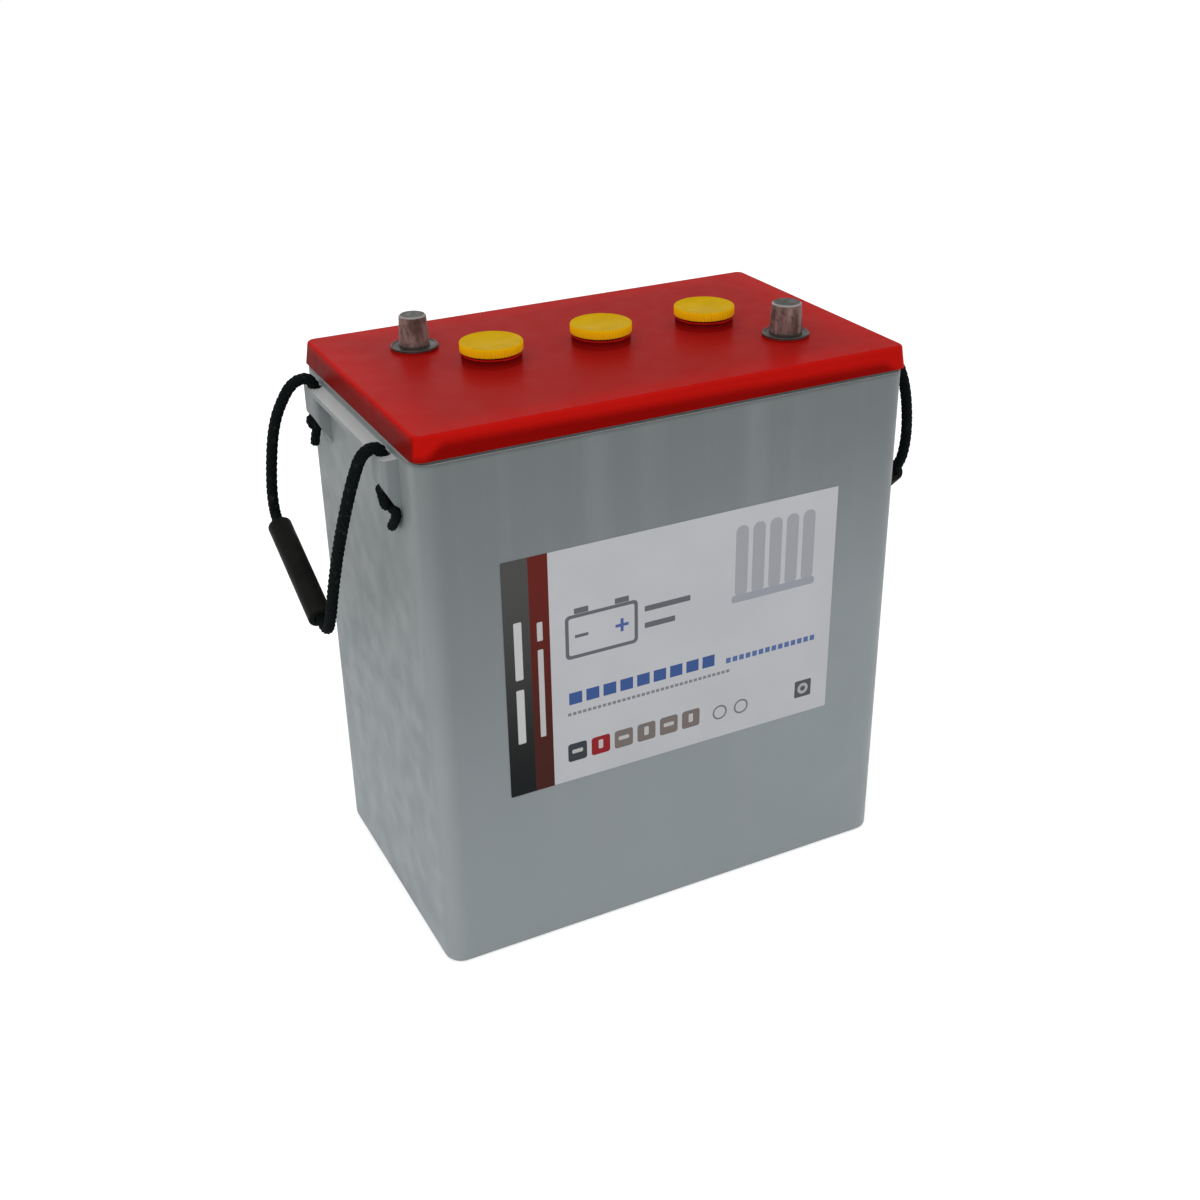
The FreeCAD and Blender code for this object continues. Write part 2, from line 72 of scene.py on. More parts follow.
# Name, place, target, size and power of each lamp
lamps = [
    ("soft_key", (-1.3, -1.2, 1.9), (0.0, 0.0, 0.2), 1.6, 16.0),
    ("soft_fill", (1.6, -1.0, 1.1), (0.0, 0.0, 0.2), 1.6, 5.0),
    ("soft_back", (0.2, 1.9, 1.6), (0.0, 0.0, 0.25), 1.4, 7.0),
]

# Case, lid and terminals, as in the solids
partition_x = 0.04998
case_half_length = 0.1527
ledge_top = 0.3202
lid_bottom = 0.3255
lid_top = 0.3388
post_top = 0.3593

# Where shades of the case change, low and high end of each change, from the middle or in height; most are
# painted light and shade, while the partition bands are the plastic's own lighter tone and the corners partly
# so
case_shade_fall = (0.0, 0.36)
right_light_fall = (0.16, 0.31)
partition_band = (0.002, 0.013)
end_wall_light_from_middle = (0.1500, 0.1526)
end_wall_light_height = (0.14, 0.30)
case_corner_tone_and_highlight_x = (0.138, 0.152)
case_corner_tone_and_highlight_y = (0.078, 0.090)
case_corner_tone_and_highlight_height = (0.10, 0.32)
ledge_light_rise = (ledge_top - 0.004, ledge_top - 0.001)
lid_shadow_rise = (lid_bottom - 0.0050, lid_bottom - 0.0008)

# The same for the lid: painted shade on its side below a border that sinks to the right and at the corners,
# painted light above it and near the top's edges, and painted shade low on the ends and on the necks
lid_shade_corner_x = (0.134, 0.148)
lid_shade_corner_y = (0.076, 0.090)
lid_edge_light_x = (0.118, 0.149)
lid_edge_light_y = (0.066, 0.090)
lid_shade_border_left = lid_bottom + 0.0080
lid_shade_border_right = lid_bottom + 0.0048
lid_shade_border_corner_drop = -0.0065
lid_shade_border_softness = (-0.0030, 0.0034)
lid_end_shade_rise = (lid_top - 0.006, lid_top - 0.001)
neck_shadow_foot = (lid_top, lid_top + 0.0003)
neck_shadow_rise = (lid_top + 0.0004, lid_top + 0.0050)

# And for the terminals
flange_fall = (lid_top + 0.0028, lid_top + 0.0040)
flange_rim_highlight_rise = (lid_top + 0.0023, lid_top + 0.0025)
post_top_rise = (post_top - 0.0006, post_top - 0.0002)
post_chamfer_rise = (post_top - 0.0009, post_top - 0.0006)

# The part of a noise's values that most of its surface has
noise_middle = (0.3, 0.7)

# Screw plugs, as in the solids
plug_places = (-0.0694, 0.0, 0.0694)
plug_head_radius = 0.0181
plug_head_bottom = 0.3456
plug_head_top = 0.3509
plug_stem_radius = 0.01175
plug_stem_bottom = 0.3226
plug_bore_radius = 0.00975
plug_notches = 60
plug_notch_depth = 0.0005
plug_rim_width = 0.0016
plug_dish_depth = 0.0006
plug_edge = 0.0005
sharp_edge_degrees = 35.0
plug_points_per_notch = 6
thread_rows = 60
thread_groove_share = 0.32
thread_depth = 0.0008
thread_pitch = 0.004

# Ropes
rope_diameter = 0.007
rope_strands = 8
rope_braid_step = 0.0045
rope_relief = 0.0012
rope_ring_points = 48
rope_ring_gap = 0.0005
braid_middle_height = 0.62
braid_height_swing = 0.38
spline_resolution = 24
knot_diameter = 0.0058
rope_hole_x = 0.1566
rope_hole_y = 0.0586

# Corner points of the ropes, from the front hole to the back hole
left_route = [
    (-0.1566, -0.0586, 0.3117),
    (-0.1566, -0.0590, 0.3246),
    (-0.1685, -0.0600, 0.3246),
    (-0.1750, -0.0595, 0.3090),
    (-0.1793, -0.0535, 0.2880),
    (-0.1817, -0.0405, 0.2600),
    (-0.1828, -0.0270, 0.2310),
    (-0.1830, -0.0175, 0.2105),
    (-0.1830, -0.0068, 0.1953),
    (-0.1830, 0.0116, 0.2029),
    (-0.1830, 0.0696, 0.2265),
    (-0.1830, 0.0855, 0.2330),
    (-0.1840, 0.0830, 0.2500),
    (-0.1835, 0.0765, 0.2720),
    (-0.1820, 0.0705, 0.2920),
    (-0.1785, 0.0650, 0.3085),
    (-0.1695, 0.0600, 0.3260),
    (-0.1566, 0.0586, 0.3260),
    (-0.1566, 0.0586, 0.3117),
]
right_route = [
    (0.1566, -0.0586, 0.3117),
    (0.1566, -0.0586, 0.3250),
    (0.1665, -0.0585, 0.3250),
    (0.1735, -0.0582, 0.3125),
    (0.1792, -0.0580, 0.2990),
    (0.1822, -0.0586, 0.2800),
    (0.1830, -0.0584, 0.2620),
    (0.1838, -0.0535, 0.2450),
    (0.1840, -0.0410, 0.2325),
    (0.1840, 0.0083, 0.1832),
    (0.1840, 0.0165, 0.1750),
    (0.1840, 0.0270, 0.1800),
    (0.1838, 0.0320, 0.1945),
    (0.1830, 0.0380, 0.2260),
    (0.1815, 0.0460, 0.2550),
    (0.1795, 0.0525, 0.2830),
    (0.1755, 0.0570, 0.3080),
    (0.1690, 0.0585, 0.3260),
    (0.1566, 0.0586, 0.3260),
    (0.1566, 0.0586, 0.3117),
]

# Routes of the front and back knots: outwards from the rope hole, along the end wall, and height
knot_routes = {
    -1: [
        (0.0000, 0.0000, 0.3117),
        (0.0000, 0.0000, 0.2990),
        (0.0005, 0.0015, 0.2935),
        (0.0030, 0.0055, 0.2930),
        (0.0044, 0.0075, 0.2965),
        (0.0042, 0.0026, 0.3030),
        (0.0030, -0.0012, 0.3000),
        (0.0012, 0.0010, 0.2948),
        (0.0005, 0.0065, 0.2920),
        (-0.0004, 0.0110, 0.2920),
        (-0.0006, 0.0108, 0.2885),
        (-0.0006, 0.0060, 0.2835),
        (-0.0006, 0.0015, 0.2790),
    ],
    1: [
        (0.0000, 0.0000, 0.3117),
        (0.0000, 0.0000, 0.2990),
        (0.0005, 0.0015, 0.2950),
        (0.0030, 0.0036, 0.2955),
        (0.0044, 0.0038, 0.2995),
        (0.0038, 0.0008, 0.3015),
        (0.0016, 0.0000, 0.2980),
        (0.0010, 0.0026, 0.2950),
        (0.0022, 0.0022, 0.2910),
        (0.0024, 0.0040, 0.2875),
        (0.0024, 0.0056, 0.2838),
    ],
}

# Label: the right ends of its two bands, its foot and its top
label_dark_end = -0.0931
label_red_end = -0.0812
label_bottom = 0.109
label_top = 0.260


def shade(red, green, blue):
    """A linear colour from a screen colour of 0 to 255."""
    linear = []
    for value in (red, green, blue):
        value = value / 255
        linear.append(value / 12.92 if value <= 0.04045 else ((value + 0.055) / 1.055) ** 2.4)
    return (*linear, 1.0)


class Finish:
    """A procedural material and short calls that add nodes to it."""

    def __init__(self, name, **sockets):
        self.material = bpy.data.materials.new(name)
        self.material.use_nodes = True
        self.tree = self.material.node_tree
        self.shader = self.tree.nodes["Principled BSDF"]
        coordinates = self.add("ShaderNodeTexCoord")
        self.place = coordinates.outputs["Object"]
        axes = self.add("ShaderNodeSeparateXYZ", {"Vector": self.place})
        self.x, self.y, self.z = axes.outputs
        facing = self.add("ShaderNodeSeparateXYZ", {"Vector": coordinates.outputs["Normal"]})
        self.facing_along = facing.outputs["X"]
        self.facing_up = facing.outputs["Z"]
        for socket, value in sockets.items():
            self.set(socket.replace("_", " "), value)

    def add(self, kind, inputs=None, **settings):
        node = self.tree.nodes.new(kind)
        for name, value in settings.items():
            setattr(node, name, value)
        for name, value in (inputs or {}).items():
            self.feed(node.inputs[name], value)
        return node

    def feed(self, socket, value):
        if isinstance(value, bpy.types.NodeSocket):
            self.tree.links.new(value, socket)
        else:
            socket.default_value = value

    def set(self, socket, value):
        names = {name.lower(): name for name in self.shader.inputs.keys()}
        self.feed(self.shader.inputs[names[socket.lower()]], value)

    def maths(self, operation, first, second=0.0, third=0.0):
        return self.add("ShaderNodeMath", {0: first, 1: second, 2: third}, operation=operation).outputs[0]

    def noise(self, scale, detail=3.0, stretch=(1.0, 1.0, 1.0), roughness=0.5):
        mapped = self.add("ShaderNodeMapping", {"Vector": self.place, "Scale": stretch})
        texture = self.add("ShaderNodeTexNoise", {
            "Vector": mapped.outputs[0], "Scale": scale, "Detail": detail, "Roughness": roughness,
        })
        return texture.outputs[0]

    def between(self, value, low, high, first=0.0, last=1.0):
        """Turns low to high into first to last, and holds the ends."""
        node = self.add("ShaderNodeMapRange", {
            "Value": value, "From Min": low, "From Max": high, "To Min": first, "To Max": last,
        }, interpolation_type="SMOOTHSTEP")
        return node.outputs["Result"]

    def mix(self, factor, first, second):
        node = self.add("ShaderNodeMix", {0: factor, 6: first, 7: second}, data_type="RGBA")
        return node.outputs[2]

    def bump(self, *layers):
        """Adds up layers of height from 0 to 1 and depth in metres."""
        height = 0.0
        for value, depth in layers:
            height = self.maths("MULTIPLY_ADD", value, depth, height)
        node = self.add("ShaderNodeBump", {"Strength": 1.0, "Distance": 1.0, "Height": height})
        self.set("Normal", node.outputs[0])

    def field(self, x, z, width, height, radius=0.0006):
        """1 inside a rectangle with round corners in the X Z plane, 0 outside."""
        node = self.add("ShaderNodeGroup", node_tree=rounded_field())
        values = {
            "X": self.x, "Z": self.z, "Middle X": x, "Middle Z": z,
            "Half Width": width / 2 - radius, "Half Height": height / 2 - radius, "Radius": radius,
        }
        for name, value in values.items():
            self.feed(node.inputs[name], value)
        return node.outputs[0]


def rounded_field():
    """The node group behind Finish.field, made once."""
    name = "rounded_field"
    if name in bpy.data.node_groups:
        return bpy.data.node_groups[name]
    group = bpy.data.node_groups.new(name, "ShaderNodeTree")
    sockets = ("X", "Z", "Middle X", "Middle Z", "Half Width", "Half Height", "Radius")
    for socket in sockets:
        group.interface.new_socket(name=socket, in_out="INPUT", socket_type="NodeSocketFloat")
    group.interface.new_socket(name="Inside", in_out="OUTPUT", socket_type="NodeSocketFloat")
    given = group.nodes.new("NodeGroupInput").outputs
    result = group.nodes.new("NodeGroupOutput").inputs[0]

    def maths(operation, *values):
        node = group.nodes.new("ShaderNodeMath")
        node.operation = operation
        for number, value in enumerate(values):
            if isinstance(value, bpy.types.NodeSocket):
                group.links.new(value, node.inputs[number])
            else:
                node.inputs[number].default_value = value
        return node.outputs[0]

    beyond = []
    for place, middle, half in (("X", "Middle X", "Half Width"), ("Z", "Middle Z", "Half Height")):
        offset = maths("ABSOLUTE", maths("SUBTRACT", given[place], given[middle]))
        beyond.append(maths("MAXIMUM", maths("SUBTRACT", offset, given[half]), 0.0))
    squares = maths("ADD", maths("MULTIPLY", beyond[0], beyond[0]), maths("MULTIPLY", beyond[1], beyond[1]))
    distance = maths("SUBTRACT", maths("SQRT", squares), given["Radius"])
    edge_sharpness = -8000.0
    inside = maths("MULTIPLY_ADD", distance, edge_sharpness, 0.5)
    group.links.new(maths("MINIMUM", maths("MAXIMUM", inside, 0.0), 1.0), result)
    return group


# Finishes

def case_finish():
    """Milky grey plastic, a little lighter at the partitions and, partly, at the corners; painted shade
    darkens it towards the top and under the lid, painted light brightens it to the right, on the end walls
    and on the ledges, and a painted highlight runs down the corners.
    """
    finish = Finish("case_plastic", specular_ior_level=0.2)
    # Painted shade: the case grows darker towards its top.
    body = finish.mix(finish.between(finish.z, *case_shade_fall), shade(149, 157, 160), shade(113, 119, 120))
    # Painted light: lighter towards +X, fading out near the top.
    painted_light_rightwards = finish.between(finish.x, -case_half_length, case_half_length, 0.0, 0.6)
    painted_light_rightwards = finish.maths("MULTIPLY", painted_light_rightwards, finish.between(finish.z, *right_light_fall, 1.0, 0.0))
    body = finish.mix(painted_light_rightwards, body, shade(152, 160, 163))
    from_middle = finish.maths("ABSOLUTE", finish.x)
    from_axis = finish.maths("ABSOLUTE", finish.y)
    from_partition = finish.maths("ABSOLUTE", finish.maths("SUBTRACT", from_middle, partition_x))
    band = finish.between(from_partition, *partition_band, 0.14, 0.0)
    body = finish.mix(band, body, shade(152, 158, 160))
    # Painted light on the end walls.
    painted_light_end_wall = finish.maths("MULTIPLY", finish.between(from_middle, *end_wall_light_from_middle, 0.0, 0.45),
                            finish.between(finish.z, *end_wall_light_height))
    body = finish.mix(painted_light_end_wall, body, shade(156, 162, 163))
    # Lighter corners: partly the thicker plastic's own tone, partly a painted highlight down each corner.
    corner = finish.maths("MULTIPLY", finish.between(from_middle, *case_corner_tone_and_highlight_x),
                          finish.between(from_axis, *case_corner_tone_and_highlight_y))
    corner = finish.maths("MULTIPLY", corner, finish.between(finish.z, *case_corner_tone_and_highlight_height, 1.0, 0.3))
    body = finish.mix(finish.maths("MULTIPLY", corner, 0.75), body, shade(164, 170, 170))
    # Painted light on the tops of the end ledges.
    painted_light_ledge = finish.maths("MULTIPLY", finish.between(finish.facing_up, 0.7, 0.95),
                         finish.between(finish.z, *ledge_light_rise))
    body = finish.mix(painted_light_ledge, body, shade(186, 190, 189))
    # Painted shadow just under the lid.
    painted_shadow_under_lid = finish.maths("MULTIPLY", finish.between(finish.z, *lid_shadow_rise),
                             finish.between(finish.facing_up, 0.5, 0.8, 0.75, 0.0))
    body = finish.mix(painted_shadow_under_lid, body, shade(74, 76, 75))
    cloud = finish.noise(14.0, 4.0)
    body = finish.mix(finish.between(cloud, 0.30, 0.75, 0.0, 0.12), body, shade(122, 129, 133))
    streaks = finish.noise(90.0, 3.0, (1.0, 1.0, 0.05))
    body = finish.mix(finish.between(streaks, 0.45, 0.75, 0.0, 0.07), body, shade(158, 163, 164))
    finish.set("Base Color", body)
    finish.set("Roughness", finish.between(finish.noise(60.0, 4.0), *noise_middle, 0.40, 0.56))
    scratches = finish.noise(400.0, 2.0, (0.06, 0.06, 1.0))
    finish.bump((finish.noise(35.0, 2.0), 0.00007), (finish.between(scratches, 0.55, 0.8), 0.00002),
                (finish.noise(900.0, 2.0), 0.00001))
    return finish.material


def lid_finish():
    """Red plastic with fine scuffs; painted light brightens the top near its edges, the rounded edges and the
    upper side, and painted shade darkens the lower side, the ends and the necks.
    """
    finish = Finish("lid_plastic", specular_ior_level=0.01)
    from_middle = finish.maths("ABSOLUTE", finish.x)
    from_axis = finish.maths("ABSOLUTE", finish.y)
    # Painted shade on the side below a border, painted light above it; the border sinks to the right and at
    # the corners.
    corner = finish.maths("MULTIPLY", finish.between(from_middle, *lid_shade_corner_x),
                          finish.between(from_axis, *lid_shade_corner_y))
    shade_border = finish.between(finish.x, -case_half_length, case_half_length, lid_shade_border_left, lid_shade_border_right)
    shade_border = finish.maths("MULTIPLY_ADD", corner, lid_shade_border_corner_drop, shade_border)
    lit_above_border = finish.between(finish.maths("SUBTRACT", finish.z, shade_border), *lid_shade_border_softness)
    side = finish.mix(lit_above_border, shade(134, 9, 6), shade(190, 20, 15))
    # Painted shade: the lid's ends grow darker towards their foot.
    end = finish.mix(finish.between(finish.z, *lid_end_shade_rise), shade(118, 20, 17), shade(160, 17, 14))
    facing_end = finish.between(finish.maths("ABSOLUTE", finish.facing_along), 0.75, 0.97)
    side = finish.mix(facing_end, side, end)
    # Painted shadow on the necks, darkest just under the plugs.
    painted_neck_shadow = finish.mix(finish.between(finish.z, *neck_shadow_rise), shade(146, 18, 15), shade(92, 6, 5))
    side = finish.mix(finish.between(finish.z, *neck_shadow_foot), side, painted_neck_shadow)
    # Painted light: the top is lighter near its edges, and top and side get differently lit reds.
    painted_light_near_edge = finish.maths("MAXIMUM", finish.between(from_middle, *lid_edge_light_x),
                             finish.between(from_axis, *lid_edge_light_y))
    top = finish.mix(painted_light_near_edge, shade(160, 25, 21), shade(178, 21, 17))
    body = finish.mix(finish.between(finish.facing_up, 0.90, 0.99), side, top)
    # Painted highlight along the lid's rounded edges.
    painted_edge_highlight = finish.maths("MULTIPLY", finish.between(finish.facing_up, 0.20, 0.60),
                        finish.between(finish.facing_up, 0.90, 0.995, 1.0, 0.0))
    body = finish.mix(finish.maths("MULTIPLY", painted_edge_highlight, 0.9), body, shade(192, 21, 16))
    cloud = finish.noise(14.0, 4.0)
    body = finish.mix(finish.between(cloud, 0.35, 0.70, 0.0, 0.18), body, shade(142, 18, 15))
    scuffs = finish.noise(220.0, 4.0, (1.0, 0.15, 1.0), 0.65)
    body = finish.mix(finish.between(scuffs, 0.66, 0.84, 0.0, 0.16), body, shade(176, 50, 44))
    finish.set("Base Color", body)
    finish.set("Roughness", finish.between(finish.noise(80.0, 4.0), *noise_middle, 0.34, 0.42))
    finish.bump((finish.noise(22.0, 2.0), 0.00004), (finish.noise(700.0, 3.0), 0.000008),
                (finish.between(scuffs, 0.66, 0.84), 0.00002))
    return finish.material


def plug_finish():
    """Yellow plastic whose notched side and rounded edges get painted light, a brighter yellow than the top.
    """
    finish = Finish("cap_plastic", specular_ior_level=0.008)
    cloud = finish.noise(60.0, 3.0)
    face = finish.mix(finish.between(cloud, *noise_middle), shade(208, 167, 9), shade(200, 159, 7))
    # Painted light: the notched side and rounded edges get a brighter yellow than the top.
    body = finish.mix(finish.between(finish.facing_up, 0.30, 0.98), shade(244, 190, 16), face)
    dirt = finish.noise(260.0, 4.0, roughness=0.7)
    body = finish.mix(finish.between(dirt, 0.60, 0.78, 0.0, 0.45), body, shade(142, 104, 20))
    finish.set("Base Color", body)
    finish.set("Roughness", finish.between(finish.noise(140.0, 3.0), *noise_middle, 0.34, 0.52))
    finish.bump((finish.noise(160.0, 2.0), 0.00012), (finish.noise(1200.0, 2.0), 0.00002))
    return finish.material


def lead_finish():
    """Dull cast lead: brown-grey sides with dark streaks, a dark top, a bright turned chamfer that is partly
    a painted highlight, and a painted highlight on the flange's rim.
    """
    finish = Finish("lead_alloy", metallic=0.35, specular_ior_level=0.2)
    cloud = finish.noise(180.0, 5.0, (1.0, 1.0, 0.35), 0.6)
    body = finish.mix(finish.between(cloud, 0.35, 0.68), shade(86, 66, 62), shade(146, 122, 116))
    spots = finish.noise(420.0, 4.0)
    body = finish.mix(finish.between(spots, 0.52, 0.72, 0.0, 0.6), body, shade(58, 46, 44))
    flange = finish.between(finish.z, *flange_fall, 1.0, 0.0)
    body = finish.mix(finish.maths("MULTIPLY", flange, 0.9), body, shade(48, 46, 43))
    # Painted highlight on the flange's raised rim.
    rim_highlight = finish.maths("MULTIPLY", flange, finish.between(finish.z, *flange_rim_highlight_rise))
    body = finish.mix(finish.maths("MULTIPLY", rim_highlight, 0.7), body, shade(74, 68, 64))
    top = finish.maths("MULTIPLY", finish.between(finish.facing_up, 0.90, 0.99),
                       finish.between(finish.z, *post_top_rise))
    body = finish.mix(top, body, shade(52, 52, 49))
    # The turned chamfer is lighter: partly bright turned lead, partly a painted highlight.
    chamfer_tone_and_highlight = finish.between(finish.z, *post_chamfer_rise)
    chamfer_tone_and_highlight = finish.maths("MULTIPLY", chamfer_tone_and_highlight, finish.maths("SUBTRACT", 1.0, top))
    body = finish.mix(finish.maths("MULTIPLY", chamfer_tone_and_highlight, 0.8), body, shade(150, 150, 148))
    finish.set("Base Color", body)
    finish.set("Roughness", finish.between(cloud, *noise_middle, 0.38, 0.62))
    turning = finish.noise(60.0, 2.0, (0.2, 0.2, 40.0))
    finish.bump((cloud, 0.00010), (turning, 0.00003), (spots, 0.00006))
    return finish.material


def dull_lead_finish():
    """Raw lead of the inner straps, links and spines."""
    finish = Finish("inner_lead", metallic=0.5)
    cloud = finish.noise(120.0, 4.0)
    body = finish.mix(finish.between(cloud, *noise_middle), shade(96, 98, 102), shade(138, 140, 144))
    finish.set("Base Color", body)
    finish.set("Roughness", finish.between(cloud, *noise_middle, 0.45, 0.7))
    finish.bump((cloud, 0.00015), (finish.noise(700.0, 2.0), 0.00003))
    return finish.material


def rope_finish():
    """Black polypropylene yarn with fine fibres and a little dust."""
    finish = Finish("rope_fibre", specular_ior_level=0.03)
    fibres = finish.noise(2600.0, 3.0, (1.0, 1.0, 0.4))
    dust = finish.noise(240.0, 4.0)
    body = finish.mix(finish.between(fibres, 0.35, 0.70), shade(9, 12, 13), shade(22, 28, 29))
    body = finish.mix(finish.between(dust, 0.58, 0.80, 0.0, 0.5), body, shade(62, 62, 60))
    finish.set("Base Color", body)
    finish.set("Roughness", finish.between(fibres, *noise_middle, 0.55, 0.85))
    finish.bump((fibres, 0.00012))
    return finish.material


def grip_finish():
    """Black extruded plastic with faint mottling and scuffs."""
    finish = Finish("grip_plastic", specular_ior_level=0.04)
    cloud = finish.noise(90.0, 4.0)
    body = finish.mix(finish.between(cloud, *noise_middle), shade(18, 18, 16), shade(26, 26, 23))
    wear = finish.noise(500.0, 4.0, roughness=0.7)
    body = finish.mix(finish.between(wear, 0.62, 0.80, 0.0, 0.6), body, shade(70, 70, 68))
    finish.set("Base Color", body)
    finish.set("Roughness", finish.between(cloud, *noise_middle, 0.36, 0.60))
    finish.bump((finish.noise(300.0, 3.0), 0.00008), (wear, 0.00004))
    return finish.material


def tube_finish():
    """Woven polyester tubes round the brown active mass."""
    finish = Finish("tube_fabric", roughness=0.85)
    fine_weave = 2500.0
    across = finish.maths("SINE", finish.maths("MULTIPLY", finish.y, fine_weave))
    along = finish.maths("SINE", finish.maths("MULTIPLY", finish.z, fine_weave))
    weave = finish.maths("MULTIPLY_ADD", finish.maths("MULTIPLY", across, along), 0.5, 0.5)
    stain = finish.noise(30.0, 4.0)
    body = finish.mix(finish.between(stain, *noise_middle), shade(176, 160, 146), shade(120, 92, 78))
    finish.set("Base Color", finish.mix(finish.maths("MULTIPLY", weave, 0.35), body, shade(96, 74, 64)))
    finish.bump((weave, 0.00020))
    return finish.material


def plain_plastic_finish(name, light, dark, rough):
    finish = Finish(name, specular_ior_level=0.2)
    cloud = finish.noise(70.0, 4.0)
    finish.set("Base Color", finish.mix(finish.between(cloud, *noise_middle), light, dark))
    finish.set("Roughness", finish.between(cloud, *noise_middle, rough, rough + 0.15))
    finish.bump((finish.noise(500.0, 3.0), 0.00004))
    return finish.material


def plate_finish():
    """Pasted negative plate: grey sponge lead with fine pores."""
    finish = Finish("negative_paste", roughness=0.9)
    pores = finish.noise(900.0, 4.0, roughness=0.7)
    cloud = finish.noise(40.0, 3.0)
    body = finish.mix(finish.between(cloud, *noise_middle), shade(112, 114, 118), shade(136, 138, 141))
    finish.set("Base Color", finish.mix(finish.between(pores, 0.5, 0.7, 0.0, 0.5), body, shade(70, 72, 76)))
    finish.bump((pores, 0.0002))
    return finish.material


def label_finish():
    """Printed film with a dark band, a dark red band and a pale field with generic marks."""
    finish = Finish("label_film", specular_ior_level=0.05)
    fall = finish.between(finish.z, label_bottom, label_top)
    cloud = finish.noise(25.0, 3.0)
    art = finish.mix(finish.between(cloud, *noise_middle), shade(193, 194, 198), shade(197, 198, 202))

    def paint(mask, colour, strength=1.0):
        nonlocal art
        if strength < 1.0:
            mask = finish.maths("MULTIPLY", mask, strength)
        art = finish.mix(mask, art, colour)

    def row(first, last, z, height, pitch, share):
        """Blocks of one pitch, each as wide as its share of the pitch."""
        whole = finish.field((first + last) / 2, z, last - first, height, 0.0002)
        step = finish.maths("FRACT", finish.maths("DIVIDE", finish.maths("SUBTRACT", finish.x, first), pitch))
        return finish.maths("MULTIPLY", whole, finish.maths("LESS_THAN", step, share))

    # A faint row of plate tubes fills the upper right.
    tube_count = 5
    tube_pitch = 0.0115
    first_tube = 0.0428
    for number in range(tube_count):
        x = first_tube + number * tube_pitch
        paint(finish.field(x, 0.2261, 0.0085, 0.046, 0.004), shade(164, 166, 172))
    paint(finish.field(0.0655, 0.2020, 0.058, 0.005, 0.002), shade(158, 161, 170))

    # A battery sign: outline, two terminals, minus and plus.
    sign = shade(104, 106, 112)
    plus = shade(84, 100, 160)
    sign_x = -0.0488
    sign_z = 0.2044
    minus_x = -0.0616
    plus_x = -0.0360
    outline = finish.maths("SUBTRACT", finish.field(sign_x, sign_z, 0.046, 0.028, 0.003),
                           finish.field(sign_x, sign_z, 0.0416, 0.0236, 0.0015))
    paint(outline, sign)
    for x in (minus_x, plus_x):
        paint(finish.field(x, 0.2204, 0.009, 0.0036), sign)
    paint(finish.field(minus_x, sign_z, 0.0085, 0.002, 0.0003), sign)
    paint(finish.field(plus_x, sign_z, 0.0085, 0.002, 0.0003), plus)
    paint(finish.field(plus_x, sign_z, 0.002, 0.0085, 0.0003), plus)
    paint(finish.field(-0.0064, 0.2108, 0.030, 0.0036), sign)
    paint(finish.field(-0.0114, 0.2000, 0.020, 0.0036), sign)

    # Charge marks, a smaller row beside them and a fine rule below.
    blue = shade(66, 92, 148)
    paint(row(-0.0705, 0.0266, 0.1645, 0.0078, 0.0110, 0.76), blue)
    paint(row(0.0339, 0.0970, 0.1615, 0.0036, 0.0046, 0.72), shade(92, 114, 162))
    paint(row(-0.0715, 0.0374, 0.1543, 0.0020, 0.0032, 0.70), shade(132, 134, 140))

    # Six small tiles with a light mark in each.
    tile_colours = [shade(62, 68, 74), shade(146, 40, 46)] + [shade(122, 114, 110)] * 4
    tile_pitch = 0.0152
    first_tile = -0.0659
    tile_size = 0.0122
    for number, colour in enumerate(tile_colours):
        x = first_tile + number * tile_pitch
        paint(finish.field(x, 0.1280, tile_size, tile_size, 0.0018), colour)
        wide = number % 2 == 0
        mark = finish.field(x, 0.1285, 0.0070 if wide else 0.0030, 0.0026 if wide else 0.0060, 0.0008)
        paint(mark, shade(206, 206, 206), 0.8)

    # Two rings, and a square with a ring in it.
    ring_z = 0.1265
    square_x = 0.0905
    for x in (0.0304, 0.0454):
        ring = finish.maths("SUBTRACT", finish.field(x, ring_z, 0.0100, 0.0100, 0.0049),
                            finish.field(x, ring_z, 0.0076, 0.0076, 0.0037))
        paint(ring, shade(122, 124, 128))
    paint(finish.field(square_x, ring_z, 0.0120, 0.0120, 0.0010), shade(88, 90, 94))
    paint(finish.field(square_x, ring_z, 0.0076, 0.0076, 0.0038), shade(176, 177, 181))
    paint(finish.field(square_x, ring_z, 0.0036, 0.0036, 0.0018), shade(88, 90, 94))

    # Bands on the left, with plain upright bars.
    dark = finish.mix(fall, shade(28, 31, 32), shade(80, 80, 79))
    red = finish.mix(fall, shade(70, 36, 31), shade(104, 38, 33))
    paint(finish.maths("LESS_THAN", finish.x, label_red_end), red)
    paint(finish.maths("LESS_THAN", finish.x, label_dark_end), dark)
    pale = shade(200, 200, 200)
    for z, height in ((0.1615, 0.0355), (0.2039, 0.0365)):
        paint(finish.field(-0.1005, z, 0.0048, height, 0.0008), pale)
    for z, height in ((0.1733, 0.0572), (0.2133, 0.0118)):
        paint(finish.field(-0.0872, z, 0.0034, height, 0.0006), pale, 0.9)

    specks = finish.noise(1500.0, 2.0)
    art = finish.mix(finish.between(specks, 0.62, 0.75, 0.0, 0.12), art, shade(120, 120, 122))
    finish.set("Base Color", art)
    finish.set("Roughness", finish.between(cloud, *noise_middle, 0.36, 0.48))
    finish.bump((finish.noise(18.0, 2.0), 0.00025), (finish.noise(1500.0, 2.0), 0.000006))
    return finish.material


def dress(material, *names):
    """Gives CAD nodes one material."""
    for name in names:
        slots = frame["nodes"][name].data.materials
        slots.clear()
        slots.append(material)


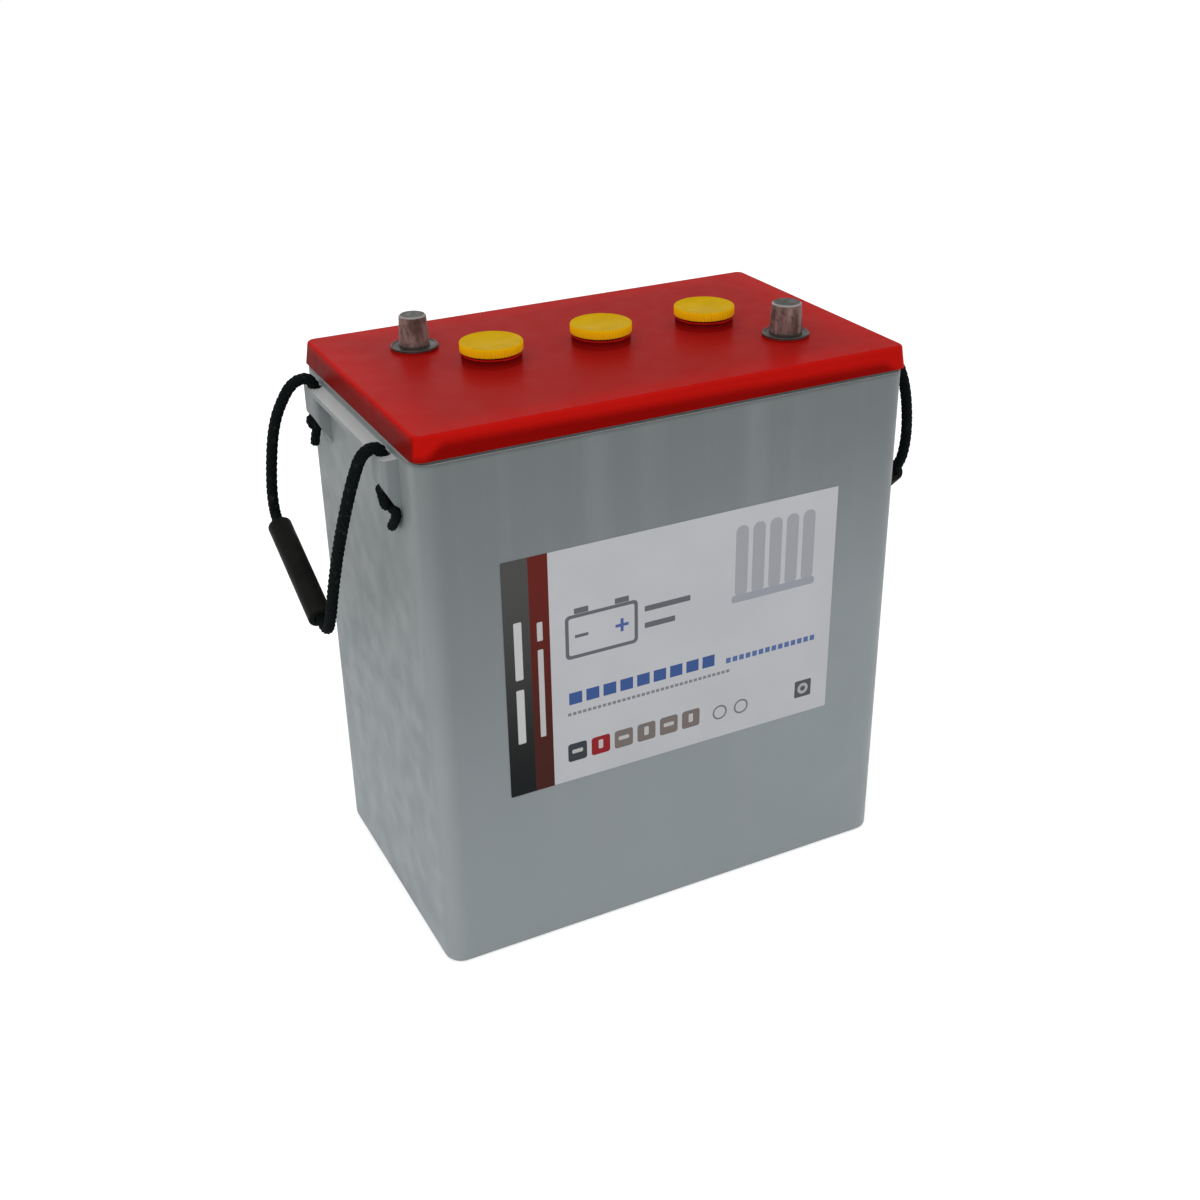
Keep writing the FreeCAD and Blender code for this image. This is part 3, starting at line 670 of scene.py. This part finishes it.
def dress_solids():
    lead = lead_finish()
    inner_lead = dull_lead_finish()
    dress(case_finish(), "case")
    dress(lid_finish(), "lid")
    dress(label_finish(), "front_label")
    dress(lead, "bushing_negative", "bushing_positive", "post_negative", "post_positive")
    dress(inner_lead, "intercell_link_1_2", "intercell_link_2_3")
    dress(grip_finish(), "grip_left", "grip_right")
    tubes = tube_finish()
    plates = plate_finish()
    bars = plain_plastic_finish("bar_plastic", shade(60, 60, 62), shade(42, 42, 44), 0.5)
    films = plain_plastic_finish("separator_film", shade(48, 48, 51), shade(30, 30, 33), 0.55)
    rubber = plain_plastic_finish("seal_rubber", shade(34, 34, 35), shade(24, 24, 25), 0.7)
    guards = plain_plastic_finish("guard_plastic", shade(184, 184, 178), shade(166, 166, 158), 0.45)
    yellow = plug_finish()
    for number in (1, 2, 3):
        dress(inner_lead, "positive_spines_%d" % number, "positive_strap_%d" % number,
              "negative_strap_%d" % number)
        dress(tubes, "positive_tubes_%d" % number)
        dress(bars, "bottom_bars_%d" % number)
        dress(plates, "negative_plates_%d" % number)
        dress(films, "separators_%d" % number)
        dress(guards, "plate_guard_%d" % number)
        dress(rubber, "vent_seal_%d" % number)
        dress(yellow, "vent_baffle_%d" % number)
    return yellow


# Meshes

def new_piece(name, points, faces, material, smooth=True):
    mesh = bpy.data.meshes.new(name)
    mesh.from_pydata([tuple(point) for point in points], [], faces)
    mesh.validate()
    mesh.materials.append(material)
    if smooth:
        mesh.shade_smooth()
    piece = bpy.data.objects.new(name, mesh)
    bpy.context.scene.collection.objects.link(piece)
    return piece


def spline_points(corners, gap):
    """Points at even gaps along the smooth curve with these control points."""
    curve = bpy.data.curves.new("route", "CURVE")
    curve.dimensions = "3D"
    curve.resolution_u = spline_resolution
    spline = curve.splines.new("NURBS")
    spline.points.add(len(corners) - 1)
    for point, corner in zip(spline.points, corners):
        point.co = (*corner, 1.0)
    spline.order_u = 3
    spline.use_endpoint_u = True
    bearer = bpy.data.objects.new("route", curve)
    line = bpy.data.meshes.new_from_object(bearer)
    read = [vertex.co.copy() for vertex in line.vertices]
    bpy.data.objects.remove(bearer)
    bpy.data.curves.remove(curve)
    bpy.data.meshes.remove(line)

    reach = [0.0]
    for before, after in zip(read, read[1:]):
        reach.append(reach[-1] + (after - before).length)
    count = max(2, round(reach[-1] / gap))
    points = []
    segment = 0
    for number in range(count + 1):
        target = reach[-1] * number / count
        while segment < len(reach) - 2 and reach[segment + 1] < target:
            segment += 1
        length = reach[segment + 1] - reach[segment]
        share = (target - reach[segment]) / length if length else 0.0
        points.append(read[segment].lerp(read[segment + 1], min(1.0, share)))
    return points, reach[-1]


def braid_height(around, along):
    """Height from 0 to 1 of a plain braid; around counts strands, along counts braid steps."""
    best = 0.0
    right = around + along
    left = around - along
    for own, other, lift_sign in ((right, left, 1.0), (left, right, -1.0)):
        strand = math.floor(own)
        across = 2 * (own - strand) - 1
        crown = math.sqrt(max(0.0, 1 - across * across))
        lift = lift_sign * math.cos(math.pi * (other - 0.5 + strand))
        best = max(best, crown * (braid_middle_height + braid_height_swing * lift))
    return best


def braided_tube(name, path, diameter, material):
    """A braided rope along the path, closed at both ends."""
    radius = diameter / 2
    relief = rope_relief * diameter / rope_diameter
    forward = (path[1] - path[0]).normalized()
    side = forward.orthogonal().normalized()
    points = []
    travelled = 0.0
    for number, centre in enumerate(path):
        if number:
            step = centre - path[number - 1]
            travelled += step.length
        ahead = path[min(number + 1, len(path) - 1)] - path[max(number - 1, 0)]
        forward = ahead.normalized()
        side = (side - forward * side.dot(forward)).normalized()
        other = forward.cross(side)
        for corner in range(rope_ring_points):
            share = corner / rope_ring_points
            height = braid_height(share * rope_strands, travelled / rope_braid_step)
            reach = radius - relief * (1 - height)
            angle = 2 * math.pi * share
            points.append(centre + reach * (math.cos(angle) * side + math.sin(angle) * other))
    faces = []
    for ring in range(len(path) - 1):
        start = ring * rope_ring_points
        for corner in range(rope_ring_points):
            following = (corner + 1) % rope_ring_points
            faces.append((start + corner, start + following,
                          start + rope_ring_points + following, start + rope_ring_points + corner))
    last = (len(path) - 1) * rope_ring_points
    faces.append(tuple(range(rope_ring_points))[::-1])
    faces.append(tuple(range(last, last + rope_ring_points)))
    return new_piece(name, points, faces, material)


def knot(name, side, end, material):
    """A stopper knot under one rope lug; side is -1 or 1 along X, end along Y."""
    corners = [
        Vector((side * (rope_hole_x + outward), end * (rope_hole_y + along), height))
        for outward, along, height in knot_routes[end]
    ]
    path, _ = spline_points(corners, rope_ring_gap)
    piece = braided_tube(name, path, knot_diameter, material)
    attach(piece, "case_body")
    return piece


def handle(name, side, route, material):
    path, length = spline_points([Vector(point) for point in route], rope_ring_gap)
    rope = braided_tube("braided_rope_%s" % name, path, rope_diameter, material)
    knots = [
        knot("knot_%s_front" % name, side, -1, material),
        knot("knot_%s_back" % name, side, 1, material),
    ]
    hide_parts("rope_knots_%s" % name)
    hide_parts("rope_knots_%s" % name)
    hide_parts("rope_%s" % name)
    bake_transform(rope)


def plug_profile():
    """Radius and height of the screw plug's outline, from the top's middle round to the bore."""
    dish = plug_head_top - plug_dish_depth
    rim_inside = plug_head_radius - plug_rim_width
    return [
        (0.0, dish),
        (rim_inside - plug_edge, dish),
        (rim_inside, dish + plug_edge / 2),
        (rim_inside + plug_edge, plug_head_top),
        (plug_head_radius - plug_edge, plug_head_top),
        (plug_head_radius - plug_edge * 0.3, plug_head_top - plug_edge * 0.3),
        (plug_head_radius, plug_head_top - plug_edge),
        (plug_head_radius, plug_head_bottom + plug_edge),
        (plug_head_radius - plug_edge * 0.3, plug_head_bottom + plug_edge * 0.3),
        (plug_head_radius - plug_edge, plug_head_bottom),
        (plug_stem_radius, plug_head_bottom),
    ]


def screw_plug(number, x, material):
    """Notched head, threaded stem and open bore of one vent plug."""
    around = plug_notches * plug_points_per_notch
    rows = [(radius, height, "head") for radius, height in plug_profile()]
    for row in range(thread_rows + 1):
        height = plug_head_bottom + (plug_stem_bottom - plug_head_bottom) * row / thread_rows
        rows.append((plug_stem_radius, height, "thread"))
    rows.append((plug_bore_radius, plug_stem_bottom, "bore"))
    rows.append((plug_bore_radius, plug_head_bottom, "bore"))
    rows.append((0.0, plug_head_bottom, "bore"))
    points = []
    for radius, height, kind in rows:
        for corner in range(around):
            angle = 2 * math.pi * corner / around
            reach = radius
            if kind == "head" and radius > plug_head_radius - 2 * plug_edge:
                wave = max(0.0, math.cos(plug_notches * angle))
                reach = radius - plug_notch_depth * (1 - wave)
            if kind == "thread":
                turn = (height / thread_pitch - angle / (2 * math.pi)) % 1.0
                groove = max(0.0, 1 - abs(turn - 0.5) / thread_groove_share)
                near_head = min(1.0, (plug_head_bottom - height) / thread_pitch)
                near_end = min(1.0, (height - plug_stem_bottom) / (thread_pitch / 2))
                reach = radius - thread_depth * (1 - groove) * near_head - plug_edge * (1 - near_end)
            points.append(Vector((x + reach * math.cos(angle), reach * math.sin(angle), height)))
    faces = []
    for row in range(len(rows) - 1):
        start = row * around
        for corner in range(around):
            following = (corner + 1) % around
            faces.append((start + corner, start + around + corner,
                          start + around + following, start + following))
    piece = new_piece("screw_plug_%d" % number, points, faces, material)
    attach(piece, "vent_plug_%d" % number)
    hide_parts("vent_cap_%d" % number)
    sharpen(piece)


def sharpen(piece):
    """Keeps edges that are sharper than the limit crisp."""
    piece.data.set_sharp_from_angle(angle=math.radians(sharp_edge_degrees))


# Stage, light and camera

def camera():
    data = bpy.data.cameras.new("camera")
    data.lens = camera_lens
    data.sensor_width = camera_sensor
    data.sensor_fit = "HORIZONTAL"
    data.clip_start = 0.01
    holder = bpy.data.objects.new("camera", data)
    bpy.context.scene.collection.objects.link(holder)
    turn = Matrix((camera_right, camera_up, -camera_forward)).transposed()
    holder.matrix_world = Matrix.Translation(camera_place) @ turn.to_4x4()
    bpy.context.scene.camera = holder


def seen_directly(tree):
    """1 for rays that the camera sends straight, by a mirror or through glass."""
    rays = tree.nodes.new("ShaderNodeLightPath")
    total = rays.outputs["Is Camera Ray"]
    for name in ("Is Glossy Ray", "Is Transmission Ray"):
        node = tree.nodes.new("ShaderNodeMath")
        node.operation = "MAXIMUM"
        tree.links.new(total, node.inputs[0])
        tree.links.new(rays.outputs[name], node.inputs[1])
        total = node.outputs[0]
    return total


def world():
    surroundings = bpy.data.worlds.new("surroundings")
    surroundings.use_nodes = True
    bpy.context.scene.world = surroundings
    tree = surroundings.node_tree
    background = tree.nodes["Background"]
    background.inputs["Color"].default_value = (1.0, 1.0, 1.0, 1.0)
    strength = tree.nodes.new("ShaderNodeMapRange")
    strength.inputs["To Min"].default_value = world_light
    strength.inputs["To Max"].default_value = 1.0
    tree.links.new(seen_directly(tree), strength.inputs["Value"])
    tree.links.new(strength.outputs["Result"], background.inputs["Strength"])


def floor():
    """A wide pale floor that looks white where no shadow falls."""
    half = floor_size / 2
    corners = [(-half, -half, 0.0), (half, -half, 0.0), (half, half, 0.0), (-half, half, 0.0)]
    material = bpy.data.materials.new("floor")
    material.use_nodes = True
    tree = material.node_tree
    shader = tree.nodes["Principled BSDF"]
    shader.inputs["Base Color"].default_value = (floor_colour, floor_colour, floor_colour, 1.0)
    shader.inputs["Roughness"].default_value = floor_roughness
    shader.inputs["Specular IOR Level"].default_value = 0.0
    shader.inputs["Emission Color"].default_value = (1.0, 1.0, 1.0, 1.0)
    lift = tree.nodes.new("ShaderNodeMath")
    lift.operation = "MULTIPLY"
    lift.inputs[1].default_value = floor_lift
    tree.links.new(seen_directly(tree), lift.inputs[0])
    tree.links.new(lift.outputs[0], shader.inputs["Emission Strength"])
    ground = new_piece("floor", corners, [(0, 1, 2, 3)], material, smooth=False)


def lamp(name, place, target, size, power):
    data = bpy.data.lights.new(name, "AREA")
    data.shape = "DISK"
    data.size = size
    data.energy = power
    holder = bpy.data.objects.new(name, data)
    bpy.context.scene.collection.objects.link(holder)
    holder.location = place
    holder.rotation_euler = (Vector(target) - Vector(place)).to_track_quat("-Z", "Y").to_euler()


def lights():
    world()
    for values in lamps:
        lamp(*values)


def build():
    yellow = dress_solids()
    rope = rope_finish()
    handle("left", -1, left_route, rope)
    handle("right", 1, right_route, rope)
    for number, x in enumerate(plug_places, 1):
        screw_plug(number, x, yellow)
    floor()
    lights()
    camera()
    bpy.context.scene.view_settings.view_transform = "Standard"


build()
